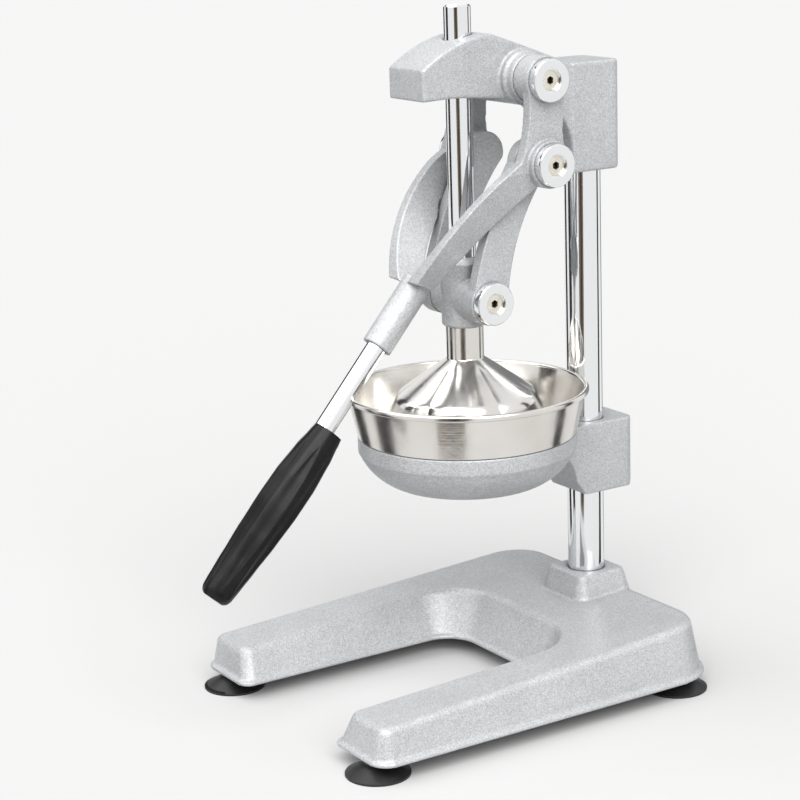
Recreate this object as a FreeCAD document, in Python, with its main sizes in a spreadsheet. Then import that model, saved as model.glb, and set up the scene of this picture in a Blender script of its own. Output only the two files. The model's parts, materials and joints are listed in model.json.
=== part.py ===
"""Hand-lever citrus press.

A horseshoe base on four suction feet carries a chrome column.  A head casting at its
top guides the ram rod and carries the lever, a forked casting with a long handle.
Two links join the lever's crank pivots to the ram, which drives a lobed dome down
over a fluted reamer.  The reamer stands on a strainer in a bowl, and the bowl sits in
a holder clamped to the column.

Frame: X across, -Y to the front, +Z up.  The press is drawn with the ram's axis on Z
and is then placed with the middle of its box over the origin, on the floor.
"""

import FreeCAD, Part

import math
import os
import re

import Sketcher

SIZES = """
    clearance         0.05   radial gap of a shaft or a screw in its hole
    side_gap          0.5    gap between faces that pass each other
    seat_gap          0.1    gap of a loose part on its seat

    base_low          9.5    underside of the base, above the floor
    base_half         95.5   half width of the base above its lip
    base_front        122.5  front of the legs, ahead of the ram axis
    base_rear         106.5  rear of the base, behind the ram axis
    base_top          42     height of the base at its rear edge
    base_leg_top      28.6   height of the legs at their front ends
    base_wall         4      wall of the casting
    base_draft        11     angle at which the outer walls lean in
    mouth_draft       25     angle at which the opening's walls lean out
    mouth_half        50     half width of the opening, at the bottom
    mouth_rear        22     rear edge of the opening, behind the ram axis, at the bottom
    mouth_round       20     corner radius of the opening, at the bottom
    rear_round        30     outer rear corner radius
    front_round       9      corner radius of the leg ends
    base_edge         4.5    rounding of the top edges
    lip_out           1.6    how far the bottom lip stands out
    lip_high          2.4    height of the bottom lip

    boss_top          53.5   top of the column boss
    boss_low          36     where the boss starts, inside the base's top
    boss_foot         21.5   half width of the boss there
    boss_lean         17     angle at which the boss's walls lean in
    boss_round        9      corner radius of the boss at its foot

    foot_side         78.4   sideways distance of the feet from the middle
    foot_front        114.3  distance of the front feet ahead of the ram axis
    foot_rear         86.5   distance of the rear feet behind the ram axis
    foot_dia          35     diameter of a suction cup
    foot_neck         15     diameter of a cup's neck
    foot_edge         1.2    thickness of a cup's edge
    foot_hollow       2.2    depth of the hollow under a cup
    stud_dia          6      diameter of a foot stud
    stud_long         20     length of a foot stud

    column_y          82.8   column axis behind the ram axis
    column_dia        21     outer diameter of the column tube
    column_wall       1.6    wall of the column tube
    column_floor      24     lower end of the column tube
    column_top        343    upper end of the column tube
    plug_high         26     height of the threaded plug in the tube
    column_bolt       8      diameter of the bolt that holds the column down
    bolt_head_dia     13     width across the bolt's head
    bolt_head_high    5.3    height of the bolt's head
    washer_thick      1.6    thickness of the washer under it
    washer_dia        17     diameter of the washer under it

    head_low          290.7  underside of the head block
    head_high         352    top of the head block
    head_half         17.6   half width of the head block
    head_front        64     front of the head block
    head_rear         97.5   rear of the head block
    head_round        5      rounding of the head block
    arm_half          17     half width of the head arm
    arm_tip           34     front face of the arm, ahead of the ram axis
    arm_tip_low       338.4  bottom of the arm's front face
    arm_tip_high      355.2  top of the arm's front face
    arm_crown         371.8  highest point of the arm
    arm_edge          1.2    rounding of the arm's edges
    grub_dia          6      diameter of the set screws
    grub_hex          3      width of the set screws' hexagon socket

    head_pivot_y      30     lever pivot behind the ram axis
    head_pivot_z      347    lever pivot height
    crank_arm         45.2   distance from the lever pivot to the crank pivot
    ram_pivot_z       227.5  height of the ram pivot with the press closed
    boss_one_dia      30     diameter of the head's pivot boss at its root
    boss_two_dia      27     diameter of the head's pivot boss at its end
    boss_step         21     where the boss steps down, from the middle
    head_boss_end     26.5   end face of the head's pivot boss, from the middle
    sleeve_dia        16     diameter of the pivot sleeves
    cap_dia           23.4   diameter of the pivot sleeves' flanges
    cap_thick         5      thickness of the flanges
    screw_dia         6      diameter of the pivot screws
    screw_head_dia    11     diameter of the countersunk screw heads
    screw_sunk        1.8    how deep the screw heads lie under the cap face
    screw_rim         0.6    gap round the screw heads in the caps
    screw_hex         4      width of the hexagon sockets
    screw_hex_deep    3      depth of the hexagon sockets
    screw_grip        9      how far the head's pivot screws reach into the head
    crank_grip        5.6    how far the crank screws reach in beyond their sleeves

    eye_dia           26     diameter of the lever's eye at the head
    eye_out           39.5   outer face of the lever arms, from the middle
    arm_plate         6.5    thickness of the lever arms
    crank_dia         26     diameter of the lever's crank boss
    crank_out         43.5   outer face of the crank boss, from the middle
    fork_turn_z       298    where the fork's arms begin to close
    fork_crotch_z     237    height of the fork's crotch
    fork_crotch_half  3      half width of the fork's crotch
    socket_dia        17     diameter of the handle socket
    socket_end_y      58     end of the socket, ahead of the ram axis
    socket_end_z      206.9  height of the socket's end
    socket_long       43     length of the socket
    socket_bore_long  26     depth of the bore in the socket
    handle_drop       48.9   angle of the handle under the horizontal

    handle_dia        11.6   diameter of the handle rod
    handle_free       53.4   length of the rod between socket and grip
    grip_long         108.5  length of the grip
    grip_top_dia      17.6   diameter of the grip where it begins
    grip_mid_dia      24.6   largest diameter of the grip
    grip_end_dia      18.5   diameter of the grip near its end
    grip_bore_long    72     depth of the rod in the grip

    link_in           19     inner face of the links, from the middle
    link_out          26.4   outer face of the links, from the middle
    link_eye_dia      25     diameter of the links' eyes
    link_waist        15     width of the links at their waist
    trunnion_end      15.7   end face of the ram's side bosses
    trunnion_dia      24     diameter of the ram's side bosses

    ram_dia           25     diameter of the ram body
    ram_low           211.5  underside of the ram body
    ram_high          250    top of the ram body
    rod_dia           15     diameter of the ram rod
    rod_tip           387.2  top of the ram rod
    rod_seat          238    lower end of the ram rod

    dome_neck_dia     21     diameter of the dome's neck
    dome_neck_z       193    foot of the neck
    dome_dia          89     largest diameter of the dome
    dome_rim_z        160    lower edge of the dome
    dome_wall         1.2    wall of the dome
    dome_brim         5      height of the dome's upright brim
    dome_round        8      rounding between the brim and the cone above it
    dome_seat_gap     0.3    gap between the neck and the ram
    dome_screw_dia    8      diameter of the screw that holds the dome
    dome_screw_hex    13     width across the dome screw's head
    dome_screw_head   4      height of the dome screw's head
    dome_screw_grip   9.8    how far the dome screw reaches into the ram

    bowl_rim_z        176    height of the bowl's rolled rim
    bowl_rim_dia      137.5  diameter over the rim
    bowl_roll         3.2    thickness of the rolled rim
    bowl_wall         1.2    wall of the bowl
    seam_z            149.8  where the bowl meets its holder
    seam_dia          123.4  diameter of the bowl and the holder there
    bowl_lower_dia    114    diameter of the bowl inside the holder
    bowl_floor_z      127.5  underside of the bowl's floor
    spout_dia         24     outer diameter of the juice spout
    spout_end_z       115.5  lower end of the juice spout

    holder_wall       4      wall of the holder
    holder_band_z     139.5  foot of the holder's upright band
    holder_low_z      122    underside of the holder
    holder_low_dia    84     diameter of the holder's underside
    clamp_low         103    underside of the clamp
    clamp_high        144.5  top of the clamp
    clamp_half        16.5   half width of the clamp
    clamp_rear        106.5  rear of the clamp
    clamp_front       63     front of the clamp

    strainer_z        141.5  height of the strainer's plate
    strainer_wall     1      thickness of the strainer
    strainer_inner    45     radius of the strainer's inner ring of holes
    strainer_outer    50.5   radius of the strainer's outer ring of holes
    strainer_hole     3      diameter of the strainer's holes
    reamer_dia        78     diameter of the reamer
    reamer_high       34     height of the reamer
    reamer_wall       1.2    wall of the reamer

    middle_y          0      middle of the box, worked out below
"""

FUNCTIONS = {"sin", "cos", "tan", "sqrt", "deg", "pi"}
NAME = re.compile(r"[a-z][a-z_]*")

doc = FreeCAD.newDocument("citrus_press")
sheet = doc.addObject("Spreadsheet::Sheet", "Sizes")
SUBPARTS = []


def fill_sheet():
    """Write each size, its name and its meaning to the sheet."""
    for row, line in enumerate((text for text in SIZES.splitlines() if text.strip()), 1):
        alias, number, meaning = line.split(None, 2)
        sheet.set(f"A{row}", meaning)
        sheet.set(f"B{row}", number)
        sheet.setAlias(f"B{row}", alias)
    doc.recompute()


def bound(text):
    """Point the names in an expression at the sheet."""
    text = str(text)
    return NAME.sub(lambda m: m.group() if m.group() in FUNCTIONS else "Sizes." + m.group(), text)


def size(text):
    """Return the present value of an expression."""
    return float(sheet.evalExpression(bound(text).replace("Sizes.", "")))


# ---------------------------------------------------------------- sketches and features

def new_body(label, x="0", y="0", z="0", rotation=None):
    """Start a sub-part whose own origin lies at (x, y, z)."""
    body = doc.addObject("PartDesign::Body", label)
    body.Label = label
    if rotation is not None:
        body.Placement = FreeCAD.Placement(FreeCAD.Vector(), rotation)
    for axis, text in zip("xyz", (x, f"({y}) - middle_y", z)):
        body.setExpression(f"Placement.Base.{axis}", bound(text))
    SUBPARTS.append(body)
    return body


def plane_of(body, role):
    """Return one of the body's own origin planes."""
    return next(item for item in body.Origin.OriginFeatures if item.Role == role)


def new_sketch(body, role, offset="0", turn=None):
    """Attach a sketch to an origin plane, moved along its normal by offset."""
    sketch = body.newObject("Sketcher::SketchObject", body.Label + "_sketch")
    sketch.AttachmentSupport = [(plane_of(body, role), "")]
    sketch.MapMode = "FlatFace"
    if turn is not None:
        sketch.AttachmentOffset = turn
    else:
        sketch.setExpression("AttachmentOffset.Base.z", bound(offset))
    return sketch


def pin_point(sketch, geometry, vertex, x, y):
    """Hold a point of the sketch at a place given by two expressions."""
    for kind, text in (("DistanceX", x), ("DistanceY", y)):
        number = sketch.addConstraint(
            Sketcher.Constraint(kind, -1, 1, geometry, vertex, size(text)))
        sketch.setExpression(f"Constraints[{number}]", bound(text))


def outline(sketch, corners):
    """Draw a closed outline.

    A corner is (x, y), or (x, y, via_x, via_y) where an arc leads through the via
    point to the next corner.
    """
    first = sketch.GeometryCount
    places = [FreeCAD.Vector(size(corner[0]), size(corner[1]), 0) for corner in corners]
    count = len(corners)
    for i, corner in enumerate(corners):
        start, end = places[i], places[(i + 1) % count]
        if len(corner) == 4:
            via = FreeCAD.Vector(size(corner[2]), size(corner[3]), 0)
            sketch.addGeometry(arc_through(start, via, end), False)
        else:
            sketch.addGeometry(Part.LineSegment(start, end), False)
    ends = [arc_ends(sketch.Geometry[first + i], places[i]) for i in range(count)]
    for i in range(count):
        following = (i + 1) % count
        sketch.addConstraint(Sketcher.Constraint(
            "Coincident", first + i, ends[i][1], first + following, ends[following][0]))
    for i, corner in enumerate(corners):
        pin_point(sketch, first + i, ends[i][0], corner[0], corner[1])
        if len(corner) == 4:
            point = sketch.addGeometry(
                Part.Point(FreeCAD.Vector(size(corner[2]), size(corner[3]), 0)), True)
            sketch.addConstraint(Sketcher.Constraint("PointOnObject", point, 1, first + i))
            pin_point(sketch, point, 1, corner[2], corner[3])


def rounded_outline(sketch, corners):
    """Draw an outline with right-angled, rounded corners.

    A corner is (x, y, radius, way in, way out), and a way is a unit step in the plane.
    """
    slack = 1 - math.sqrt(0.5)
    points = []
    for x, y, radius, way_in, way_out in corners:
        start = [f"{place} - {step} * {radius}" for place, step in zip((x, y), way_in)]
        via = [f"{place} + {slack:.6f} * {out - into} * {radius}"
               for place, into, out in zip((x, y), way_in, way_out)]
        points.append((*start, *via))
        points.append(tuple(f"{place} + {step} * {radius}"
                            for place, step in zip((x, y), way_out)))
    outline(sketch, points)


def arc_through(start, via, end):
    """Return the arc from start through via to end, turning to the left as sketches ask."""
    centre = Part.Arc(start, via, end).toShape().Curve.Center
    spokes = [point - centre for point in (start, via, end)]
    first, between, last = [math.atan2(spoke.y, spoke.x) for spoke in spokes]
    leftward = (between - first) % math.tau < (last - first) % math.tau
    if not leftward:
        first, last = last, first
    ring = Part.Circle(centre, FreeCAD.Vector(0, 0, 1), spokes[0].Length)
    return Part.ArcOfCircle(ring, first, first + (last - first) % math.tau)


def arc_ends(curve, start):
    """Return the vertex numbers of a curve's beginning and end, seen from start."""
    forward = (curve.StartPoint - start).Length <= (curve.EndPoint - start).Length
    return (1, 2) if forward else (2, 1)


def circle(sketch, x, y, diameter):
    """Draw a circle with a bound centre and diameter."""
    centre = FreeCAD.Vector(size(x), size(y), 0)
    number = sketch.addGeometry(
        Part.Circle(centre, FreeCAD.Vector(0, 0, 1), size(diameter) / 2), False)
    pin_point(sketch, number, 3, x, y)
    datum = sketch.addConstraint(Sketcher.Constraint("Diameter", number, size(diameter)))
    sketch.setExpression(f"Constraints[{datum}]", bound(diameter))


def hexagon(sketch, across):
    """Draw a hexagon about the origin, given its width across flats."""
    corners = []
    for i in range(6):
        angle = 60 * i
        radius = f"({across}) / sqrt(3)"
        corners.append((f"{radius} * cos({angle}deg)", f"{radius} * sin({angle}deg)"))
    outline(sketch, corners)


def feature(body, kind, sketch, **settings):
    """Add a sketch-based feature; settings that are text are bound expressions."""
    item = body.newObject("PartDesign::" + kind, f"{body.Label}_{kind.lower()}")
    item.Profile = sketch
    for name, setting in settings.items():
        if isinstance(setting, str) and name not in ("SideType", "Type"):
            item.setExpression(name, bound(setting))
        else:
            setattr(item, name, setting)
    sketch.Visibility = False
    doc.recompute()
    return item


def pad(body, sketch, length, **settings):
    """Pad a sketch along its plane's normal."""
    return feature(body, "Pad", sketch, Length=length, **settings)


def pad_both(body, sketch, length):
    """Pad a sketch to both sides; length is the whole of it."""
    return feature(body, "Pad", sketch, Length=length, SideType="Symmetric")


def pocket(body, sketch, length, **settings):
    """Cut a sketch out of the body and check that material went."""
    before = body.Shape.Volume
    item = feature(body, "Pocket", sketch, Length=length, **settings)
    if body.Shape.Volume >= before - 1e-6:
        raise RuntimeError(f"{body.Label}: a pocket cut nothing")
    return item


def pocket_both(body, sketch, length):
    """Cut a sketch out to both sides of its plane."""
    return pocket(body, sketch, length, SideType="Symmetric")


def revolve(body, corners, role="XZ_Plane"):
    """Turn a closed outline of (radius, height) corners about the body's own Z."""
    sketch = new_sketch(body, role)
    outline(sketch, corners)
    item = body.newObject("PartDesign::Revolution", body.Label + "_revolution")
    item.Profile = sketch
    item.ReferenceAxis = (sketch, ["V_Axis"])
    item.Angle = 360
    sketch.Visibility = False
    doc.recompute()
    return item


def groove(body, corners, role="XZ_Plane"):
    """Cut a turned outline out of the body and check that material went."""
    before = body.Shape.Volume
    sketch = new_sketch(body, role)
    outline(sketch, corners)
    item = body.newObject("PartDesign::Groove", body.Label + "_groove")
    item.Profile = sketch
    item.ReferenceAxis = (sketch, ["V_Axis"])
    item.Angle = 360
    sketch.Visibility = False
    doc.recompute()
    if body.Shape.Volume >= before - 1e-6:
        raise RuntimeError(f"{body.Label}: a groove cut nothing")
    return item


def mirror(body, originals, role="YZ_Plane"):
    """Repeat features on the other side of an origin plane."""
    item = body.newObject("PartDesign::Mirrored", body.Label + "_mirror")
    item.Originals = originals
    item.MirrorPlane = (plane_of(body, role), [""])
    body.Tip = item
    doc.recompute()
    return item


def soften(body, radius, wanted, kind="Fillet"):
    """Round the edges for which wanted(edge) holds."""
    base = body.Tip
    names = [f"Edge{i}" for i, edge in enumerate(base.Shape.Edges, 1) if wanted(edge)]
    if not names:
        raise RuntimeError(f"{body.Label}: no edge to round")
    item = body.newObject("PartDesign::" + kind, f"{body.Label}_{kind.lower()}")
    item.Base = (base, names)
    item.setExpression("Radius" if kind == "Fillet" else "Size", bound(radius))
    body.Tip = item
    doc.recompute()
    return item


def middle(edge):
    """Return an edge's middle point."""
    return edge.valueAt((edge.FirstParameter + edge.LastParameter) / 2)


def is_upright(edge, lean=0.6):
    """Tell whether an edge rises from its one end to its other."""
    if len(edge.Vertexes) != 2:
        return False
    rise = edge.Vertexes[1].Point - edge.Vertexes[0].Point
    return abs(rise.z) > lean * rise.Length


TO_PLUS_X = FreeCAD.Rotation(FreeCAD.Vector(0, 0, 1), FreeCAD.Vector(1, 0, 0))
TO_MINUS_X = FreeCAD.Rotation(FreeCAD.Vector(0, 0, 1), FreeCAD.Vector(-1, 0, 0))
SIDES = (("right", 1, TO_PLUS_X), ("left", -1, TO_MINUS_X))


# ---------------------------------------------------------------- base and feet

RIGHT, LEFT, BACK, AHEAD = (1, 0), (-1, 0), (0, 1), (0, -1)


def base_plan(sketch, out):
    """Draw the base's outer plan, out beyond its walls."""
    half = f"(base_half + {out})"
    front = f"(0 - base_front - ({out}))"
    rear = f"(base_rear + {out})"
    tip = f"(front_round + {out})"
    heel = f"(rear_round + {out})"
    rounded_outline(sketch, [
        (half, front, tip, RIGHT, BACK), (half, rear, heel, BACK, LEFT),
        ("0 - " + half, rear, heel, LEFT, AHEAD), ("0 - " + half, front, tip, AHEAD, RIGHT)])


def mouth_plan(sketch, out):
    """Draw the opening between the legs, wider by out, open to the front."""
    half = f"(mouth_half + {out})"
    end = f"(mouth_rear + {out})"
    corner = f"(mouth_round + {out})"
    front = "0 - base_front - mouth_half"
    right_end = f"{half} - {corner}"
    outline(sketch, [
        ("0 - " + half, front), (half, front),
        (half, f"{end} - {corner}", f"{right_end} + {corner} * sqrt(0.5)",
         f"{end} - {corner} + {corner} * sqrt(0.5)"),
        (right_end, end), (f"{corner} - {half}", end,
                           f"{corner} - {half} - {corner} * sqrt(0.5)",
                           f"{end} - {corner} + {corner} * sqrt(0.5)"),
        ("0 - " + half, f"{end} - {corner}")])


def make_base():
    """Cast horseshoe with leaning walls, a thin lip, and a square boss for the column."""
    body = new_body("base")
    lip = new_sketch(body, "XY_Plane", "base_low")
    base_plan(lip, "lip_out")
    pad(body, lip, "lip_high")
    walls = new_sketch(body, "XY_Plane", "base_low")
    base_plan(walls, "0")
    pad(body, walls, "base_top - base_low", TaperAngle="0 - base_draft")
    lip_mouth = new_sketch(body, "XY_Plane", "base_low")
    mouth_plan(lip_mouth, "0 - lip_out")
    pocket(body, lip_mouth, "lip_high", Reversed=True)
    mouth = new_sketch(body, "XY_Plane", "base_low + lip_high")
    mouth_plan(mouth, "0")
    pocket(body, mouth, "base_top - base_low", Reversed=True, TaperAngle="mouth_draft")

    def leg_corner(edge):
        point = middle(edge)
        return (is_upright(edge) and point.y < size("0 - base_front + base_draft")
                and abs(point.x) < size("base_half - front_round - 6"))

    soften(body, "front_round * 0.8", leg_corner)

    slope = new_sketch(body, "YZ_Plane")
    outline(slope, [
        ("0 - base_front - lip_out", "base_leg_top"),
        ("base_rear + lip_out", "base_top"),
        ("base_rear + lip_out", "base_top + 1"),
        ("0 - base_front - lip_out", "base_top + 1")])
    pocket_both(body, slope, "base_half * 3")

    def on_top(edge):
        box = edge.BoundBox
        at = (box.YMin + box.YMax) / 2
        run = size("base_rear + base_front + 2 * lip_out")
        level = size("base_leg_top") + (size("base_top - base_leg_top") / run) * (
            at + size("base_front + lip_out"))
        return abs((box.ZMin + box.ZMax) / 2 - level) < 1.0 and not is_upright(edge)

    soften(body, "base_edge", on_top)

    boss = new_sketch(body, "XY_Plane", "boss_low")
    half = "boss_foot"
    near, far = "column_y - boss_foot", "column_y + boss_foot"
    rounded_outline(boss, [
        (half, near, "boss_round", RIGHT, BACK), (half, far, "boss_round", BACK, LEFT),
        ("0 - " + half, far, "boss_round", LEFT, AHEAD),
        ("0 - " + half, near, "boss_round", AHEAD, RIGHT)])
    pad(body, boss, "boss_top - boss_low", TaperAngle="0 - boss_lean")
    soften(body, "1.5", lambda edge: abs(edge.BoundBox.ZMin - size("boss_top")) < 0.01)

    hollow_base(body)

    hole = new_sketch(body, "XY_Plane", "boss_top")
    circle(hole, "0", "column_y", "column_dia + 2 * clearance")
    pocket(body, hole, "boss_top - column_floor")
    bolt = new_sketch(body, "XY_Plane", "boss_top")
    circle(bolt, "0", "column_y", "column_bolt + 2 * clearance")
    pocket(body, bolt, "boss_top - base_low")


def hollow_base(body):
    """Hollow the casting from below and leave a post for each foot and the column."""
    channel = new_sketch(body, "XY_Plane", "base_low")
    hollow_plan(channel)
    pocket(body, channel, "base_leg_top - base_wall - base_low", Reversed=True,
           TaperAngle="0 - base_draft")
    posts = new_sketch(body, "XY_Plane", "base_low")
    for x, y in foot_places():
        circle(posts, x, y, "stud_dia + 4")
    circle(posts, "0", "column_y", "column_dia + 10")
    pad(body, posts, "base_leg_top - base_wall - base_low + 0.5")
    holes = new_sketch(body, "XY_Plane", "base_low")
    for x, y in foot_places():
        circle(holes, x, y, "stud_dia + 2 * clearance")
    pocket(body, holes, "stud_long - 6", Reversed=True)
    recess = new_sketch(body, "XY_Plane", "base_low")
    circle(recess, "0", "column_y", "washer_dia + 2")
    pocket(body, recess, "bolt_head_high + washer_thick + 1", Reversed=True)


def hollow_plan(sketch):
    """Draw the hollow under the base, inside its walls."""
    inner = "mouth_half + base_wall + 3"
    outer = "base_half - base_wall"
    front = "0 - base_front + base_wall"
    rear = "base_rear - base_wall"
    heel = "(rear_round - base_wall)"
    turn = f"{heel} * (1 - sqrt(0.5))"
    end = "mouth_rear + base_wall + 14"
    outline(sketch, [
        (inner, front), (outer, front),
        (outer, f"{rear} - {heel}", f"{outer} - {turn}", f"{rear} - {turn}"),
        (f"{outer} - {heel}", rear),
        (f"{heel} - ({outer})", rear, f"{turn} - ({outer})", f"{rear} - {turn}"),
        (f"0 - ({outer})", f"{rear} - {heel}"),
        (f"0 - ({outer})", front), (f"0 - ({inner})", front), (f"0 - ({inner})", end),
        (inner, end)])


def foot_places():
    """List the four feet's places."""
    return [(side + "foot_side", place)
            for place in ("0 - foot_front", "foot_rear")
            for side in ("", "0 - ")]


def make_feet():
    """Rubber suction cups on steel studs."""
    names = ("front_right", "front_left", "rear_right", "rear_left")
    for name, (x, y) in zip(names, foot_places()):
        cup = new_body("suction_cup_" + name, x, y)
        revolve(cup, [
            ("0", "foot_hollow"), ("foot_neck / 2", "foot_hollow"),
            ("foot_dia / 2 - 1.6", "0"), ("foot_dia / 2", "0"),
            ("foot_dia / 2", "foot_edge", "foot_dia / 3", "base_low / 2 - 0.6"),
            ("foot_neck / 2", "base_low - 3"),
            ("foot_neck / 2", "base_low - clearance"),
            ("stud_dia / 2 + clearance", "base_low - clearance"),
            ("stud_dia / 2 + clearance", "foot_hollow + 2"), ("0", "foot_hollow + 2")])
        stud = new_body("foot_stud_" + name, x, y, "foot_hollow + 2 + clearance")
        revolve(stud, [
            ("0", "0"), ("stud_dia / 2", "0"), ("stud_dia / 2", "stud_long - 3"),
            ("stud_dia / 2 - 0.8", "stud_long - 2.2"), ("0", "stud_long - 2.2")])


# ---------------------------------------------------------------- column

def make_column():
    """Chrome tube with a threaded plug, and the bolt and washer that hold it down."""
    tube = new_body("column_tube", "0", "column_y", "column_floor + clearance")
    revolve(tube, [
        ("column_dia / 2 - column_wall", "0"), ("column_dia / 2", "0"),
        ("column_dia / 2", "column_top - column_floor"),
        ("column_dia / 2 - column_wall", "column_top - column_floor")])
    plug = new_body("column_plug", "0", "column_y", "column_floor + clearance")
    revolve(plug, [
        ("column_bolt / 2 + clearance", "0"),
        ("column_dia / 2 - column_wall - clearance", "0"),
        ("column_dia / 2 - column_wall - clearance", "plug_high"),
        ("column_bolt / 2 + clearance", "plug_high")])
    washer = new_body("column_washer", "0", "column_y",
                      "base_low + bolt_head_high + 1 - clearance")
    revolve(washer, [
        ("column_bolt / 2 + clearance", "0"), ("washer_dia / 2", "0"),
        ("washer_dia / 2", "washer_thick"), ("column_bolt / 2 + clearance", "washer_thick")])
    bolt = new_body("column_bolt", "0", "column_y", "base_low + 1 - 2 * clearance")
    head = new_sketch(bolt, "XY_Plane")
    hexagon(head, "bolt_head_dia")
    pad(bolt, head, "bolt_head_high")
    shank = new_sketch(bolt, "XY_Plane")
    circle(shank, "0", "0", "column_bolt")
    pad(bolt, shank, "column_floor + plug_high - base_low - 6")


# ---------------------------------------------------------------- head

def make_head():
    """Casting on top of the column: a block, an arched arm and two pivot bosses."""
    body = new_body("head_casting")
    block = new_sketch(body, "XY_Plane", "head_low")
    outline(block, [
        ("head_half", "head_front"), ("head_half", "head_rear"),
        ("0 - head_half", "head_rear"), ("0 - head_half", "head_front")])
    pad(body, block, "head_high - head_low")
    soften(body, "head_round", lambda edge: is_upright(edge, 0.99)
           and abs(middle(edge).y - size("head_rear")) < 0.01)
    soften(body, "1.6", lambda edge: middle(edge).y > size("head_front + 5")
           and (abs(edge.BoundBox.ZMin - size("head_high")) < 0.01
                and abs(edge.BoundBox.ZMax - size("head_high")) < 0.01
                or abs(edge.BoundBox.ZMax - size("head_low")) < 0.01))

    side = new_sketch(body, "YZ_Plane")
    outline(side, [
        ("0 - arm_tip", "arm_tip_low"),
        ("0 - arm_tip", "arm_tip_high", "0 - arm_tip + 13", "arm_tip_high + 8.2"),
        ("10", "arm_crown", "head_pivot_y + 4", "arm_crown - 8.6"),
        ("head_front + 4", "head_high - 2"), ("head_front + 4", "head_low + 12"),
        ("head_front - 0.5", "head_low + 12", "head_front - 4", "arm_tip_low - 20.5"),
        ("head_front - 18", "arm_tip_low - 7.5", "10", "arm_tip_low - 1.5"),
        ("0 - arm_tip + 18", "arm_tip_low + 0.6")])
    pad_both(body, side, "2 * arm_half")
    soften(body, "arm_edge", lambda edge: abs(abs(middle(edge).x) - size("arm_half")) < 0.01
           and middle(edge).y < size("head_front - 2"))

    root = new_sketch(body, "YZ_Plane")
    circle(root, "head_pivot_y", "head_pivot_z", "boss_one_dia")
    pad_both(body, root, "2 * boss_step")
    end = new_sketch(body, "YZ_Plane")
    circle(end, "head_pivot_y", "head_pivot_z", "boss_two_dia")
    pad_both(body, end, "2 * head_boss_end")

    bore = new_sketch(body, "XY_Plane", "column_top + 1")
    circle(bore, "0", "column_y", "column_dia + 2 * clearance")
    pocket(body, bore, "column_top + 2 - head_low")
    guide = new_sketch(body, "XY_Plane", "arm_crown + 1")
    circle(guide, "0", "0", "rod_dia + 2 * clearance")
    pocket(body, guide, "arm_crown - arm_tip_low + 12")
    tapped = new_sketch(body, "YZ_Plane")
    circle(tapped, "head_pivot_y", "head_pivot_z", "screw_dia + 2 * clearance")
    pocket_both(body, tapped, "4 * head_boss_end")
    grub = new_sketch(body, "XZ_Plane", "0 - column_y")
    circle(grub, "0", "head_low + 20", "grub_dia + 2 * clearance")
    pocket(body, grub, "head_rear - column_y + 1", Reversed=False)


def make_grub(label, rear, z):
    """Set screw with a hexagon socket, pressing on the column from behind."""
    turned = FreeCAD.Rotation(FreeCAD.Vector(0, 0, 1), FreeCAD.Vector(0, 1, 0))
    body = new_body(label, "0", "column_y + column_dia / 2 + clearance", z, turned)
    rod = new_sketch(body, "XY_Plane")
    circle(rod, "0", "0", "grub_dia")
    length = f"{rear} - column_y - column_dia / 2 - 1"
    pad(body, rod, length)
    socket = new_sketch(body, "XY_Plane", length)
    hexagon(socket, "grub_hex")
    pocket(body, socket, "2.5")


# ---------------------------------------------------------------- pivots

def make_pivot(name, y, z, inner, outer, grip):
    """Flanged sleeves and countersunk screws of one pivot, on both sides.

    The screws reach beyond the sleeves' inner ends by grip.
    """
    for side, sign, rotation in SIDES:
        place = ("" if sign > 0 else "0 - ") + f"({inner})"
        sleeve = new_body(f"{name}_sleeve_{side}", place, y, z, rotation)
        length = f"({outer}) - ({inner}) + side_gap / 2"
        bore = "screw_dia / 2 + clearance"
        seat = "screw_head_dia / 2 + clearance"
        rim = "screw_head_dia / 2 + screw_rim"
        top = f"{length} + cap_thick"
        cone = "(screw_head_dia - screw_dia) / 2"
        revolve(sleeve, [
            (bore, "0"), ("sleeve_dia / 2", "0"), ("sleeve_dia / 2", length),
            ("cap_dia / 2", length), ("cap_dia / 2", f"{top} - 0.7"),
            ("cap_dia / 2 - 0.7", top), (rim, top), (rim, f"{top} - screw_sunk"),
            (seat, f"{top} - screw_sunk"),
            (bore, f"{top} - screw_sunk - {cone}")])
        screw = new_body(f"{name}_screw_{side}", place, y, z, rotation)
        face = f"{top} - screw_sunk"
        revolve(screw, [
            ("0", f"0 - ({grip})"), ("screw_dia / 2", f"0 - ({grip})"),
            ("screw_dia / 2", f"{face} - {cone}"), ("screw_head_dia / 2", face), ("0", face)])
        socket = new_sketch(screw, "XY_Plane", face)
        hexagon(socket, "screw_hex")
        pocket(screw, socket, "screw_hex_deep")


CRANK_Z = "head_pivot_z - crank_arm"
LEVER_IN = "head_boss_end + side_gap"
LINK_BOSS_IN = "trunnion_end + side_gap / 2"


# ---------------------------------------------------------------- lever

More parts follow.
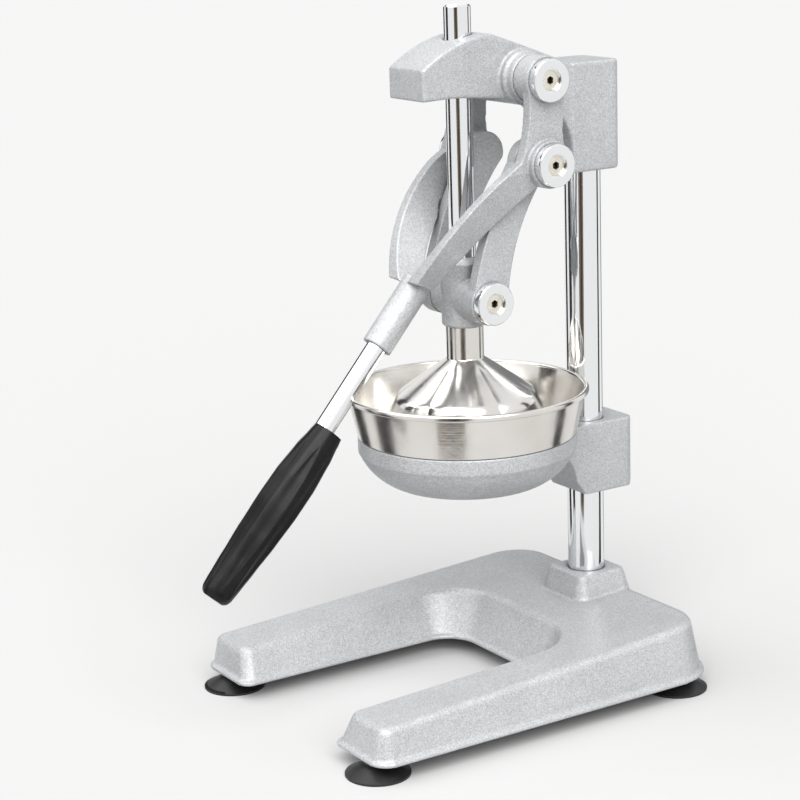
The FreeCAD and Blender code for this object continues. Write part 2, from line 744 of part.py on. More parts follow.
def make_lever():
    """Forked casting: two arms with eyes at the head and the crank, and a socket."""
    body = new_body("lever_fork")
    side = new_sketch(body, "YZ_Plane")
    eye = "eye_dia / 2"
    crank = "crank_dia / 2"
    outline(side, [
        (f"head_pivot_y - {eye} + 0.6", "head_pivot_z",
         "head_pivot_y", f"head_pivot_z + {eye} - 0.6"),
        (f"head_pivot_y + {eye} - 0.6", "head_pivot_z"),
        (f"head_pivot_y + {crank} - 2.5", f"{CRANK_Z} + 17"),
        (f"head_pivot_y + {crank} - 0.6", CRANK_Z,
         f"head_pivot_y + {crank} * 0.67", f"{CRANK_Z} - {crank} * 0.7"),
        ("head_pivot_y - 4.5", f"{CRANK_Z} - 12",
         "head_pivot_y - 32", f"{CRANK_Z} - 34.3"),
        ("0 - socket_end_y + 31", "socket_end_z + 28.5"),
        ("0 - socket_end_y + 18.2", "socket_end_z + 34.2",
         "head_pivot_y - 51.7", f"{CRANK_Z} - 28.3"),
        ("head_pivot_y - 17", f"{CRANK_Z} + 2.2",
         "head_pivot_y - 14.5", f"{CRANK_Z} + 9")])
    pad_both(body, side, "2 * eye_out")
    trim = new_sketch(body, "XZ_Plane")
    wishbone(trim)
    pocket_both(body, trim, "400")
    relief = new_sketch(body, "YZ_Plane")
    outline(relief, [
        ("head_pivot_y - 19", f"{CRANK_Z} - 7"), ("head_pivot_y", f"{CRANK_Z} - 7"),
        ("head_pivot_y", f"{CRANK_Z} - 40"), ("head_pivot_y - 34", f"{CRANK_Z} - 40")])
    pocket_both(body, relief, "2 * (link_out + side_gap)")

    eyes = new_sketch(body, "YZ_Plane", LEVER_IN)
    circle(eyes, "head_pivot_y", "head_pivot_z", "eye_dia")
    near_eye = pad(body, eyes, f"eye_out - ({LEVER_IN})")
    cranks = new_sketch(body, "YZ_Plane", LEVER_IN)
    circle(cranks, "head_pivot_y", CRANK_Z, "crank_dia")
    near_crank = pad(body, cranks, f"crank_out - ({LEVER_IN})")
    mirror(body, [near_eye, near_crank])

    turn = FreeCAD.Rotation(FreeCAD.Vector(1, 0, 0), size("handle_drop") - 90)
    start = FreeCAD.Vector(0, -size("socket_end_y"), size("socket_end_z"))
    at_end = FreeCAD.Placement(start, turn)
    barrel = new_sketch(body, "XY_Plane", turn=at_end)
    circle(barrel, "0", "0", "socket_dia")
    pad(body, barrel, "socket_long")
    bore = new_sketch(body, "XY_Plane", turn=at_end)
    circle(bore, "0", "0", "handle_dia + 2 * clearance")
    pocket(body, bore, "socket_bore_long", Reversed=True)

    holes = new_sketch(body, "YZ_Plane")
    circle(holes, "head_pivot_y", "head_pivot_z", "sleeve_dia + 2 * clearance")
    circle(holes, "head_pivot_y", CRANK_Z, "sleeve_dia + 2 * clearance")
    pocket_both(body, holes, "4 * crank_out")


def wishbone(sketch):
    """Draw a frame around the fork as it is seen from the front."""
    inner = "eye_out - arm_plate"
    high = "head_pivot_z + eye_dia"
    low = "socket_end_z - socket_dia"
    reach = "2 * eye_out"
    outline(sketch, [
        (reach, low), (reach, high), (f"0 - {reach}", high), (f"0 - {reach}", low)])
    stem = "socket_dia / 2 - 0.5"
    bend = "(fork_turn_z + fork_crotch_z) / 2 + 2.5"
    bow = "(eye_out - socket_dia / 2) * 0.32"
    outline(sketch, [
        ("eye_out", f"{high} - 1"), ("eye_out", "fork_turn_z", f"eye_out - {bow}", bend),
        (stem, "fork_crotch_z - 5"), (stem, f"{low} + 1"),
        (f"0 - ({stem})", f"{low} + 1"),
        (f"0 - ({stem})", "fork_crotch_z - 5", f"{bow} - eye_out", bend),
        ("0 - eye_out", "fork_turn_z"), ("0 - eye_out", f"{high} - 1"),
        (f"0 - ({inner})", f"{high} - 1"),
        (f"0 - ({inner})", "fork_turn_z", f"{bow} - ({inner})", bend),
        ("0 - fork_crotch_half", "fork_crotch_z + fork_crotch_half", "0", "fork_crotch_z"),
        ("fork_crotch_half", "fork_crotch_z + fork_crotch_half", f"{inner} - {bow}", bend),
        (inner, "fork_turn_z"), (inner, f"{high} - 1")])


def make_handle():
    """Chrome rod in the lever's socket, with a moulded grip on its free end."""
    along = FreeCAD.Rotation(FreeCAD.Vector(1, 0, 0), size("handle_drop") - 90)
    flip = along.multiply(FreeCAD.Rotation(FreeCAD.Vector(1, 0, 0), 180))
    place = ("0", "0 - socket_end_y", "socket_end_z")
    rod = new_body("handle_rod", *place, flip)
    revolve(rod, [
        ("0", "clearance - socket_bore_long"), ("handle_dia / 2", "clearance - socket_bore_long"),
        ("handle_dia / 2", "handle_free + grip_bore_long"),
        ("0", "handle_free + grip_bore_long")])
    grip = new_body("grip", *place, flip)
    top = "handle_free"
    end = "handle_free + grip_long"
    hole = "handle_dia / 2 + clearance"
    revolve(grip, [
        (hole, top), ("grip_top_dia / 2 - 1", top),
        ("grip_top_dia / 2", f"{top} + 1",
         "grip_top_dia * 0.25 + grip_mid_dia * 0.25 + 0.6", f"{top} + grip_long * 0.28"),
        ("grip_mid_dia / 2", f"{top} + grip_long * 0.55",
         "grip_end_dia * 0.15 + grip_mid_dia * 0.36", f"{top} + grip_long * 0.8"),
        ("grip_end_dia / 2", f"{end} - 4"), ("grip_end_dia / 2 - 4", end), ("0", end),
        ("0", "handle_free + grip_bore_long + clearance"),
        (hole, "handle_free + grip_bore_long + clearance")])


# ---------------------------------------------------------------- links and ram

def make_links():
    """Two waisted links, each with a boss towards the ram."""
    for side, sign, _ in SIDES:
        body = new_body("link_" + side)
        start = "link_in" if sign > 0 else "0 - link_out"
        plate = new_sketch(body, "YZ_Plane", start)
        radius = "link_eye_dia / 2"
        outline(plate, [
            (f"head_pivot_y - {radius}", f"{CRANK_Z} + 1",
             "head_pivot_y + 3", f"{CRANK_Z} + {radius} - 0.4"),
            (f"head_pivot_y + {radius} - 0.6", f"{CRANK_Z} - 3",
             "link_waist / 2 + 11", "(ram_pivot_z + head_pivot_z - crank_arm) / 2 - 5"),
            (f"{radius} - 0.4", "ram_pivot_z + 3", "2", f"ram_pivot_z - {radius} + 0.2"),
            (f"0.4 - {radius}", "ram_pivot_z - 3",
             "11 - link_waist", "(ram_pivot_z + head_pivot_z - crank_arm) / 2 - 8")])
        pad(body, plate, "link_out - link_in")
        boss = new_sketch(body, "YZ_Plane",
                          LINK_BOSS_IN if sign > 0 else "0 - link_out")
        circle(boss, "0", "ram_pivot_z", "link_eye_dia")
        pad(body, boss, f"link_out - ({LINK_BOSS_IN})")
        hole = new_sketch(body, "YZ_Plane")
        circle(hole, "0", "ram_pivot_z", "sleeve_dia + 2 * clearance")
        pocket_both(body, hole, "4 * link_out")
        tapped = new_sketch(body, "YZ_Plane", "link_out" if sign > 0 else "0 - link_out")
        circle(tapped, "head_pivot_y", CRANK_Z, "screw_dia + 2 * clearance")
        pocket(body, tapped, "link_out - link_in - 2", Reversed=sign < 0)


def make_ram():
    """Ram casting with side bosses, and the chrome rod that guides it."""
    body = new_body("ram_body", "0", "0", "0")
    revolve(body, [
        ("0", "ram_low"), ("ram_dia / 2 - 1", "ram_low"), ("ram_dia / 2", "ram_low + 1"),
        ("ram_dia / 2", "ram_high - 3"), ("ram_dia / 2 - 3", "ram_high"), ("0", "ram_high")])
    bosses = new_sketch(body, "YZ_Plane")
    circle(bosses, "0", "ram_pivot_z", "trunnion_dia")
    pad_both(body, bosses, "2 * trunnion_end")
    cross = new_sketch(body, "YZ_Plane")
    circle(cross, "0", "ram_pivot_z", "screw_dia + 2 * clearance")
    pocket_both(body, cross, "4 * trunnion_end")
    seat = new_sketch(body, "XY_Plane", "ram_high")
    circle(seat, "0", "0", "rod_dia + 2 * clearance - 3")
    pocket(body, seat, "ram_high - rod_seat + clearance")
    below = new_sketch(body, "XY_Plane", "ram_low")
    circle(below, "0", "0", "dome_screw_dia + 2 * clearance")
    pocket(body, below, "10", Reversed=True)

    rod = new_body("ram_rod")
    revolve(rod, [
        ("0", "rod_seat"), ("rod_dia / 2 - 1.5", "rod_seat"),
        ("rod_dia / 2 - 1.5", "ram_high + clearance"), ("rod_dia / 2", "ram_high + clearance"),
        ("rod_dia / 2", "rod_tip - 1"), ("rod_dia / 2 - 1", "rod_tip"), ("0", "rod_tip")])


def make_dome():
    """Press dome: a neck that flares to a hollow cup, held by a screw into the ram."""
    body = new_body("press_dome")
    top = "ram_low - dome_seat_gap / 3"
    wall = "dome_wall"
    revolve(body, [
        ("dome_screw_dia / 2 + clearance", top), ("dome_neck_dia / 2", top),
        ("dome_neck_dia / 2", "dome_neck_z"),
        ("dome_dia / 2 - dome_round", "dome_rim_z + dome_brim + dome_round",
         f"dome_dia / 2 - dome_round * 0.35", f"dome_rim_z + dome_brim + dome_round * 0.66"),
        ("dome_dia / 2", "dome_rim_z + dome_brim"), ("dome_dia / 2", "dome_rim_z"),
        (f"dome_dia / 2 - {wall}", "dome_rim_z"),
        (f"dome_dia / 2 - {wall}", "dome_rim_z + dome_brim",
         f"dome_dia / 2 - dome_round * 0.35 - {wall} * 0.8",
         f"dome_rim_z + dome_brim + dome_round * 0.66 - {wall} * 0.6"),
        (f"dome_dia / 2 - dome_round - {wall} * 0.5",
         f"dome_rim_z + dome_brim + dome_round - {wall}"),
        ("dome_neck_dia / 2 - 0.5", f"dome_neck_z - {wall}"),
        ("dome_screw_dia / 2 + clearance", f"dome_neck_z - {wall}")])
    screw = new_body("dome_screw", "0", "0", f"dome_neck_z - {wall} - clearance")
    head = new_sketch(screw, "XY_Plane", "0 - dome_screw_head")
    hexagon(head, "dome_screw_hex")
    pad(screw, head, "dome_screw_head")
    shank = new_sketch(screw, "XY_Plane")
    circle(shank, "0", "0", "dome_screw_dia")
    pad(screw, shank, f"ram_low - dome_neck_z + {wall} + dome_screw_grip")


# ---------------------------------------------------------------- bowl and its holder

def make_bowl():
    """Spun bowl with a rolled rim, a step that rests on the holder, and a spout."""
    body = new_body("bowl")
    wall = "bowl_wall"
    lower = "bowl_lower_dia / 2"
    revolve(body, [
        ("bowl_rim_dia / 2 - bowl_roll", "bowl_rim_z - bowl_roll / 2",
         "bowl_rim_dia / 2 - bowl_roll / 2", "bowl_rim_z"),
        ("bowl_rim_dia / 2", "bowl_rim_z - bowl_roll / 2"),
        (f"bowl_rim_dia / 2 - bowl_roll + {wall}", "bowl_rim_z - bowl_roll"),
        ("seam_dia / 2", "seam_z + seat_gap"),
        (f"{lower}", "seam_z + seat_gap"), (f"{lower}", "holder_band_z + 1"),
        (f"{lower} - 14", "bowl_floor_z"), ("spout_dia / 2", "bowl_floor_z - 1"),
        ("spout_dia / 2", "spout_end_z"), (f"spout_dia / 2 - {wall}", "spout_end_z"),
        (f"spout_dia / 2 - {wall}", f"bowl_floor_z - 1 + {wall}"),
        (f"{lower} - 14", f"bowl_floor_z + {wall}"),
        (f"{lower} - {wall}", f"holder_band_z + 1 + {wall} / 2"),
        (f"{lower} - {wall}", f"seam_z + seat_gap + {wall}"),
        (f"seam_dia / 2 - {wall}", f"seam_z + seat_gap + {wall}")])


STRAINER_HOLES = 20


def make_strainer():
    """Perforated plate with an upright lip, hung inside the bowl."""
    body = new_body("strainer")
    edge = "bowl_lower_dia / 2 - bowl_wall - seat_gap"
    wall = "strainer_wall"
    revolve(body, [
        ("0", "strainer_z"), (edge, "strainer_z"),
        (edge, f"seam_z + seat_gap + bowl_wall + seat_gap"),
        (f"{edge} + 3", f"seam_z + seat_gap + bowl_wall + seat_gap"),
        (f"{edge} + 3", f"seam_z + seat_gap + bowl_wall + seat_gap + {wall}"),
        (f"{edge} - {wall}", f"seam_z + seat_gap + bowl_wall + seat_gap + {wall}"),
        (f"{edge} - {wall}", f"strainer_z + {wall}"), ("0", f"strainer_z + {wall}")])
    before = body.Shape.Volume
    for ring, radius in enumerate(("strainer_inner", "strainer_outer")):
        holes = new_sketch(body, "XY_Plane", "strainer_z")
        for i in range(STRAINER_HOLES):
            angle = 360 / STRAINER_HOLES * (i + ring / 2)
            circle(holes, f"{radius} * cos({angle}deg)", f"{radius} * sin({angle}deg)",
                   "strainer_hole")
        pocket(body, holes, f"{wall} + 1", Reversed=True)
    if body.Shape.Volume >= before:
        raise RuntimeError("strainer: no holes")


def make_reamer():
    """Fluted cone that stands on the strainer under the dome."""
    body = new_body("reamer", "0", "0", "strainer_z + strainer_wall + seat_gap")
    revolve(body, [
        ("0", "reamer_high"), ("0", "0"), ("reamer_dia / 2", "0"), ("reamer_dia / 2", "3"),
        ("reamer_dia / 2 - 3", "6", "reamer_dia / 4 + 3", "reamer_high * 0.62"),
        ("4", "reamer_high - 1")])


def make_holder():
    """Casting that cradles the bowl and clamps to the column."""
    body = new_body("bowl_holder")
    wall = "holder_wall"
    revolve(body, [
        ("spout_dia / 2 + 1.5", "holder_low_z"),
        ("holder_low_dia / 2", "holder_low_z",
         "seam_dia / 4 + holder_low_dia / 4 + 1.2",
         "holder_low_z * 0.54 + holder_band_z * 0.46 - 1.2"),
        ("seam_dia / 2 - 1", "holder_band_z"),
        ("seam_dia / 2", "holder_band_z + 1.5"), ("seam_dia / 2", "seam_z"),
        ("spout_dia / 2 + 1.5", "seam_z")])
    side = new_sketch(body, "YZ_Plane")
    outline(side, [
        ("seam_dia / 2 - 6", "holder_band_z + 3"), ("clamp_front + 8", "clamp_high"),
        ("clamp_rear", "clamp_high"), ("clamp_rear", "clamp_low + 3"),
        ("clamp_rear - 3", "clamp_low"), ("clamp_front + 8", "clamp_low"),
        ("clamp_front + 2", "clamp_low + 8", "clamp_front - 2.5", "holder_low_z + 1.5"),
        ("seam_dia / 2 - 10", "holder_band_z - 7")])
    pad_both(body, side, "2 * clamp_half")
    soften(body, "6", lambda edge: is_upright(edge, 0.99)
           and abs(middle(edge).y - size("clamp_rear")) < 0.01)
    cavity = "bowl_lower_dia / 2 + 1"
    groove(body, [
        ("0", "seam_z + 5"), ("0", f"holder_low_z + {wall}"),
        (f"{cavity} - 13", f"holder_low_z + {wall}"), (cavity, "holder_band_z - 1"),
        (cavity, "seam_z + 5")])
    bore = new_sketch(body, "XY_Plane", "clamp_high + 1")
    circle(bore, "0", "column_y", "column_dia + 2 * clearance")
    pocket(body, bore, "clamp_high - clamp_low + 2")
    grub = new_sketch(body, "XZ_Plane", "0 - column_y")
    circle(grub, "0", "clamp_low + 20", "grub_dia + 2 * clearance")
    pocket(body, grub, "clamp_rear - column_y + 1", Reversed=False)


# ---------------------------------------------------------------- the whole press

def centre_on_floor():
    """Set the sheet's middle_y so that the press's box is centred over the origin."""
    boxes = [body.Shape.optimalBoundingBox(False, False) for body in SUBPARTS]
    low = min(box.YMin for box in boxes)
    high = max(box.YMax for box in boxes)
    sheet.set(sheet.getCellFromAlias("middle_y"), repr((low + high) / 2))
    doc.recompute()


def check():
    """Stop if an object failed or a sub-part has no sound shape."""
    for item in doc.Objects:
        if {"Invalid", "Error"} & set(item.State):
            raise RuntimeError(f"{item.Label} failed: {item.State}")
    for body in SUBPARTS:
        if body.Shape.isNull() or not body.Shape.isValid() or not body.Shape.Solids:
            raise RuntimeError(f"{body.Label} has no valid shape")


def main():
    """Build every sub-part and write it to its file."""
    fill_sheet()
    make_base()
    make_feet()
    make_column()
    make_head()
    make_grub("head_grub", "head_rear", "head_low + 20")
    make_holder()
    make_grub("holder_grub", "clamp_rear", "clamp_low + 20")
    make_bowl()
    make_strainer()
    make_reamer()
    make_ram()
    make_dome()
    make_links()
    make_lever()
    make_handle()
    make_pivot("head_pivot", "head_pivot_y", "head_pivot_z", "head_boss_end", "eye_out",
               "screw_grip")
    make_pivot("crank_pivot", "head_pivot_y", CRANK_Z, LEVER_IN, "crank_out", "crank_grip")
    make_pivot("ram_pivot", "0", "ram_pivot_z", LINK_BOSS_IN, "link_out", "0")
    centre_on_floor()
    check()
    os.makedirs("parts", exist_ok=True)
    for body in SUBPARTS:
        body.Shape.exportStep(f"parts/{body.Label}.step")
    print(f"{len(SUBPARTS)} sub-parts, middle_y {size('middle_y'):.3f} mm")


main()
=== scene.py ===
"""Looks of the hand-lever citrus press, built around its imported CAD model.

Lengths are metres in the row frame: +Z up, -Y towards the handle, +X to the right.
"""

import json
import math

import bmesh
import bpy
import numpy as np
from mathutils import Matrix, Quaternion, Vector


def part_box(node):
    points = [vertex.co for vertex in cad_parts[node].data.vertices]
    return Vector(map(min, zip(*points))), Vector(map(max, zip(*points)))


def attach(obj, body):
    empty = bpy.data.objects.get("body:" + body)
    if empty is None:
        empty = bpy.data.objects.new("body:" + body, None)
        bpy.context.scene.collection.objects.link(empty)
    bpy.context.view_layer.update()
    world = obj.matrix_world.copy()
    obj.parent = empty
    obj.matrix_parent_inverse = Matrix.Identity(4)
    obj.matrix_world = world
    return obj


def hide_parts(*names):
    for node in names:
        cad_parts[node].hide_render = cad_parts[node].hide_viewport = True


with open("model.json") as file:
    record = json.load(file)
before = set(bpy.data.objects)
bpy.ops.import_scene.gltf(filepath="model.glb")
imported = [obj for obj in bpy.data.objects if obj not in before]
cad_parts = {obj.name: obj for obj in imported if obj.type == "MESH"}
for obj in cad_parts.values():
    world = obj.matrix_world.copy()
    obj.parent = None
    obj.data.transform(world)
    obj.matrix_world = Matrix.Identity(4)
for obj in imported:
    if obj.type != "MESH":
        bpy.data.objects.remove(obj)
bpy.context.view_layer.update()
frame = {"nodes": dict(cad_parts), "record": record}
NODES = frame["nodes"]
MM = 0.001

# ---------------------------------------------------------------- camera and stage

CAMERA_AT = Vector((1.0010, -0.6443, 0.4726))
CAMERA_TARGET = Vector((0.1149, -0.0860, 0.2092))
CAMERA_ROLL = math.radians(-1.85)
LENS = 99.82
SENSOR = 36
WORLD_DIFFUSE = 0.36
WORLD_GLOSSY = 1.0
FLOOR_TONE = 0.53
FLOOR_REACH = 30
# name, bearing, rise, strength, width in degrees, colour
SUNS = (("key", 8, 45, 4.1, 60, (1.0, 0.995, 0.985)),
        ("fill", -75, 55, 1.8, 70, (1.0, 1.0, 1.0)))
CARD_NEAR = 0.2
# name, left and right bearing, tone, where the wedge on the floor starts
CARDS = (("card_left", -106, -82, "dark", 0.12),
         ("card_far_left", -150, -126, "dark", CARD_NEAR),
         ("card_front", -26, -13, "warm", CARD_NEAR),
         ("card_front_core", -13, -6, "dark", CARD_NEAR),
         ("card_front_side", -6, 4, "warm", CARD_NEAR),
         ("card_right", 99, 112, "dark", CARD_NEAR),
         ("card_back", 140, 176, "grey", CARD_NEAR))


def set_camera():
    """Place the camera at the reference view."""
    data = bpy.data.cameras.new("camera")
    data.lens = LENS
    data.sensor_width = SENSOR
    data.clip_start = 0.05
    camera = bpy.data.objects.new("camera", data)
    bpy.context.scene.collection.objects.link(camera)
    camera.location = CAMERA_AT
    aim = (CAMERA_TARGET - CAMERA_AT).to_track_quat("-Z", "Y")
    camera.rotation_mode = "QUATERNION"
    camera.rotation_quaternion = aim @ Quaternion((0, 0, 1), CAMERA_ROLL)
    bpy.context.scene.camera = camera


def glow(name, color, strength):
    """Plain emission material for a studio card."""
    material = bpy.data.materials.new(name)
    material.use_nodes = True
    tree = material.node_tree
    tree.nodes.remove(tree.nodes["Principled BSDF"])
    emission = tree.nodes.new("ShaderNodeEmission")
    emission.inputs["Color"].default_value = (*color, 1)
    emission.inputs["Strength"].default_value = strength
    tree.links.new(emission.outputs[0], tree.nodes["Material Output"].inputs["Surface"])
    return material


def plane(name, corners, material):
    """One rectangle, linked into the scene."""
    mesh = bpy.data.meshes.new(name)
    mesh.from_pydata([tuple(c) for c in corners], [], [(0, 1, 2, 3)])
    mesh.materials.append(material)
    piece = bpy.data.objects.new(name, mesh)
    bpy.context.scene.collection.objects.link(piece)
    return piece


def bearing_line(bearing, distance, height=0.0):
    """Point at a bearing in degrees from the camera's, positive to the camera's right."""
    angle = math.atan2(CAMERA_AT.y, CAMERA_AT.x) + math.radians(bearing)
    return Vector((math.cos(angle) * distance, math.sin(angle) * distance, height))


def reflection_card(name, left, right, material, near, far=2.6, high=2.2):
    """Card between two bearings that only shows in reflections: a wedge on the floor that
    turns up at its far end."""
    lift = 2 * MM
    flat = plane(name + "_floor", [
        bearing_line(left, near, lift), bearing_line(right, near, lift),
        bearing_line(right, far, lift), bearing_line(left, far, lift)], material)
    wall = plane(name + "_wall", [
        bearing_line(left, far), bearing_line(right, far),
        bearing_line(right, far, high), bearing_line(left, far, high)], material)
    for card in (flat, wall):
        card.visible_camera = False
        card.visible_diffuse = False
        card.visible_shadow = False
        card.visible_transmission = False


def soft_sun(name, bearing, rise, strength, width, color):
    """Broad sun-like light that shines evenly over press and floor."""
    data = bpy.data.lights.new(name, "SUN")
    data.energy = strength
    data.angle = math.radians(width)
    data.color = color
    light = bpy.data.objects.new(name, data)
    bpy.context.scene.collection.objects.link(light)
    away = bearing_line(bearing, math.cos(math.radians(rise)), math.sin(math.radians(rise)))
    light.rotation_mode = "QUATERNION"
    light.rotation_quaternion = (-away).to_track_quat("-Z", "Y")


def set_world():
    """Even pale surroundings, brighter to the camera and in reflections."""
    world = bpy.data.worlds.new("studio")
    world.use_nodes = True
    tree = world.node_tree
    background = tree.nodes["Background"]
    background.inputs["Color"].default_value = (0.985, 0.99, 1.0, 1)
    path = tree.nodes.new("ShaderNodeLightPath")
    level = tree.nodes.new("ShaderNodeMapRange")
    level.inputs["To Min"].default_value = WORLD_DIFFUSE
    level.inputs["To Max"].default_value = WORLD_GLOSSY
    seen = tree.nodes.new("ShaderNodeMath")
    seen.operation = "MAXIMUM"
    tree.links.new(path.outputs["Is Glossy Ray"], seen.inputs[0])
    tree.links.new(path.outputs["Is Camera Ray"], seen.inputs[1])
    tree.links.new(seen.outputs["Value"], level.inputs["Value"])
    tree.links.new(level.outputs["Result"], background.inputs["Strength"])
    bpy.context.scene.world = world


def set_stage():
    """Pale floor, soft lights, and dark cards that give the chrome its bands."""
    floor_paint = bpy.data.materials.new("stage_floor")
    floor_paint.use_nodes = True
    shader = floor_paint.node_tree.nodes["Principled BSDF"]
    shader.inputs["Base Color"].default_value = (FLOOR_TONE, FLOOR_TONE, FLOOR_TONE, 1)
    shader.inputs["Roughness"].default_value = 0.9
    shader.inputs["Specular IOR Level"].default_value = 0.0
    plane("floor", [(-FLOOR_REACH, -FLOOR_REACH, 0), (FLOOR_REACH, -FLOOR_REACH, 0),
                    (FLOOR_REACH, FLOOR_REACH, 0), (-FLOOR_REACH, FLOOR_REACH, 0)],
          floor_paint)
    set_world()
    for sun in SUNS:
        soft_sun(*sun)
    tones = {"dark": glow("card_dark", (0.03, 0.03, 0.032), 1),
             "warm": glow("card_warm", (0.16, 0.125, 0.095), 1),
             "grey": glow("card_grey", (0.24, 0.25, 0.26), 1)}
    for name, left, right, tone, near in CARDS:
        reflection_card(name, left, right, tones[tone], near)
    bpy.context.scene.view_settings.view_transform = "Standard"


# ---------------------------------------------------------------- materials

# How far the painted shade reaches: ambient occlusion darkens a material's colour in its
# hollows
CAST_PAINTED_SHADE_REACH = 0.014
SCREW_PAINTED_SHADE_REACH = 0.0035


def new_material(name, color, metallic, roughness):
    """Principled material with its uniform numbers set on the shader."""
    material = bpy.data.materials.new(name)
    material.use_nodes = True
    tree = material.node_tree
    shader = tree.nodes["Principled BSDF"]
    shader.inputs["Base Color"].default_value = (*color, 1)
    shader.inputs["Metallic"].default_value = metallic
    shader.inputs["Roughness"].default_value = roughness
    return material, tree, shader


def add(tree, kind, settings=None, **inputs):
    """New node with its properties and input values set."""
    node = tree.nodes.new(kind)
    for key, value in (settings or {}).items():
        setattr(node, key, value)
    for key, value in inputs.items():
        node.inputs[key.replace("_", " ")].default_value = value
    return node


def object_space(tree):
    """Coordinates that ride with the piece."""
    return add(tree, "ShaderNodeTexCoord").outputs["Object"]


def noise(tree, scale, detail=3.0, roughness=0.55, stretch=None):
    """Noise over the piece; stretch scales its axes."""
    texture = add(tree, "ShaderNodeTexNoise", Scale=scale, Detail=detail, Roughness=roughness)
    place = object_space(tree)
    if stretch:
        mapping = add(tree, "ShaderNodeMapping", Scale=stretch)
        tree.links.new(place, mapping.inputs["Vector"])
        place = mapping.outputs["Vector"]
    tree.links.new(place, texture.inputs["Vector"])
    return texture.outputs["Fac"]


def spread(tree, value, low, high, start=0.3, stop=0.7):
    """Map a value from start..stop to low..high."""
    node = add(tree, "ShaderNodeMapRange")
    node.inputs["From Min"].default_value = start
    node.inputs["From Max"].default_value = stop
    node.inputs["To Min"].default_value = low
    node.inputs["To Max"].default_value = high
    tree.links.new(value, node.inputs["Value"])
    return node.outputs["Result"]


def blend_color(tree, factor, first, second):
    """Mix two colours by a factor."""
    node = add(tree, "ShaderNodeMix", {"data_type": "RGBA"})
    tree.links.new(factor, node.inputs["Factor"])
    for socket, value in ((node.inputs[6], first), (node.inputs[7], second)):
        if isinstance(value, tuple):
            socket.default_value = (*value, 1)
        else:
            tree.links.new(value, socket)
    return node.outputs[2]


def bump(tree, shader, height, strength, distance, below=None):
    """Drive the shader's normal from a height, on top of another bump if given."""
    node = add(tree, "ShaderNodeBump", Strength=strength, Distance=distance)
    tree.links.new(height, node.inputs["Height"])
    if below:
        tree.links.new(below, node.inputs["Normal"])
    tree.links.new(node.outputs["Normal"], shader.inputs["Normal"])
    return node.outputs["Normal"]


def casting_material():
    """Silver-grey hammer paint: sparkling flakes, pimpled skin, faint unevenness, and painted
    shade that darkens its hollows.
    """
    material, tree, shader = new_material("casting_paint", (0.5, 0.51, 0.52), 0.22, 0.42)
    flakes = add(tree, "ShaderNodeTexVoronoi", Scale=2100.0)
    tree.links.new(object_space(tree), flakes.inputs["Vector"])
    glint = add(tree, "ShaderNodeSeparateColor")
    tree.links.new(flakes.outputs["Color"], glint.inputs["Color"])
    paint = blend_color(tree, spread(tree, glint.outputs["Red"], 0, 1, 0.1, 0.95),
                        (0.32, 0.328, 0.335), (0.50, 0.51, 0.52))
    cloud = noise(tree, 28, 4)
    shade = blend_color(tree, spread(tree, cloud, 0, 1), (0.92, 0.92, 0.925),
                        (1.04, 1.04, 1.04))
    tint = add(tree, "ShaderNodeMix", {"data_type": "RGBA", "blend_type": "MULTIPLY"})
    tint.inputs["Factor"].default_value = 1.0
    tree.links.new(paint, tint.inputs[6])
    tree.links.new(shade, tint.inputs[7])
    # Painted shade: an ambient-occlusion mask blends the paint colour towards dark grey in
    # crevices, corners and between parts
    painted_shade_ao = add(tree, "ShaderNodeAmbientOcclusion", {"samples": 6}, Distance=CAST_PAINTED_SHADE_REACH)
    painted_shade_lit_share = spread(tree, painted_shade_ao.outputs["AO"], 0, 1, 0.15, 0.8)
    tree.links.new(blend_color(tree, painted_shade_lit_share, (0.12, 0.125, 0.13), tint.outputs[2]),
                   shader.inputs["Base Color"])
    tree.links.new(spread(tree, glint.outputs["Green"], 0.34, 0.56, 0.0, 1.0),
                   shader.inputs["Roughness"])
    skin = bump(tree, shader, noise(tree, 420, 2), 0.35, 0.0004)
    bump(tree, shader, noise(tree, 1500, 2), 0.3, 0.00015, skin)
    shader.inputs["Coat Weight"].default_value = 0.12
    shader.inputs["Coat Roughness"].default_value = 0.3
    return material


def chrome_material():
    """Bright chrome plate with faint wiping marks."""
    material, tree, shader = new_material("chrome_plate", (0.86, 0.87, 0.88), 1.0, 0.07)
    wipe = noise(tree, 60, 5, 0.6, (1.0, 1.0, 0.25))
    tree.links.new(spread(tree, wipe, 0.035, 0.12), shader.inputs["Roughness"])
    bump(tree, shader, noise(tree, 35, 2), 0.06, 0.0006)
    return material


